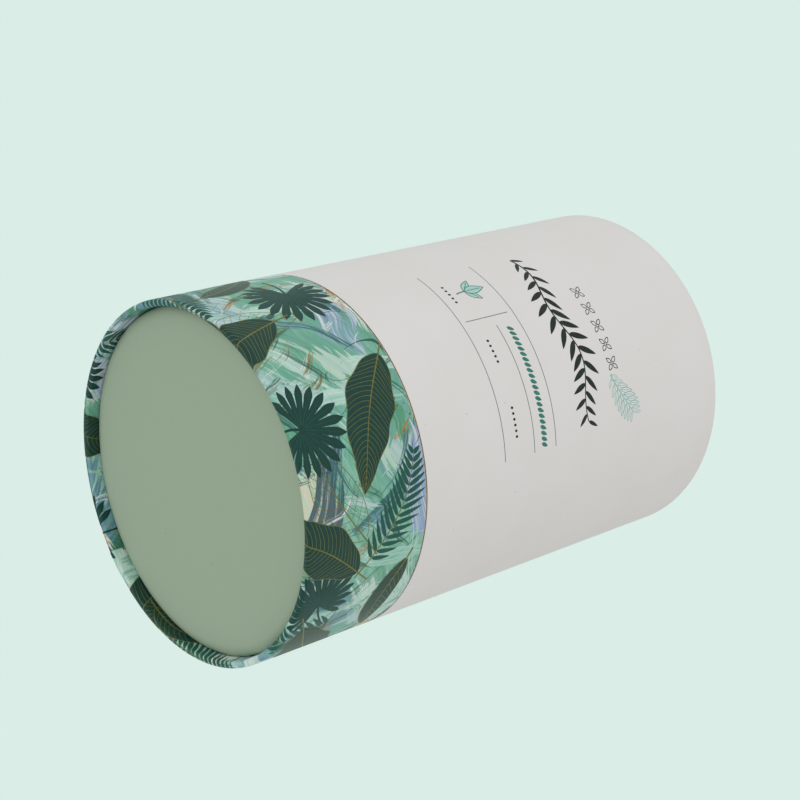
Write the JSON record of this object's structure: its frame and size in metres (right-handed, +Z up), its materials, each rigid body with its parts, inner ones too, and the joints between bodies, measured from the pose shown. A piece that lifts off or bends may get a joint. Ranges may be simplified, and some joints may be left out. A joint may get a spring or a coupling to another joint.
{
  "type": "cylindrical gift tube box",
  "caption": "Round paper-board gift tube with a short printed base, a lined neck inside it and a tall lid that slides off.",
  "frame": {"origin": "centre of the ring that the base stands on, at the underside of the printed end", "axes": "+Z up along the tube's axis, from the printed base to the white lid; -Y is the side with the rules and the panel of ornament; +X is to the right of one who faces that side"},
  "size_m": [0.104, 0.104, 0.166],
  "materials": {
    "greyboard": "matte",
    "leaf_print": "matte",
    "white_print": "matte",
    "sage_paper": "matte",
    "lining_paper": "matte"
  },
  "bodies": {
    "base": {"base_tube": "greyboard", "base_wrap": "leaf_print", "base_disc": "greyboard", "base_disc_cover": "sage_paper", "neck_tube": "greyboard", "neck_wrap": "sage_paper", "neck_lining": "lining_paper", "floor_board": "greyboard", "floor_paper": "lining_paper"},
    "lid": {"lid_tube": "greyboard", "lid_wrap": "white_print", "lid_lining": "lining_paper", "lid_disc": "greyboard", "lid_disc_cover": "sage_paper", "ceiling_board": "greyboard", "ceiling_paper": "lining_paper"}
  },
  "joints": [
    {"name": "lid_slide", "type": "slide", "parent": "base", "child": "lid", "axis": [0, 0, 1], "range_m": [0, 0.09]}
  ]
}
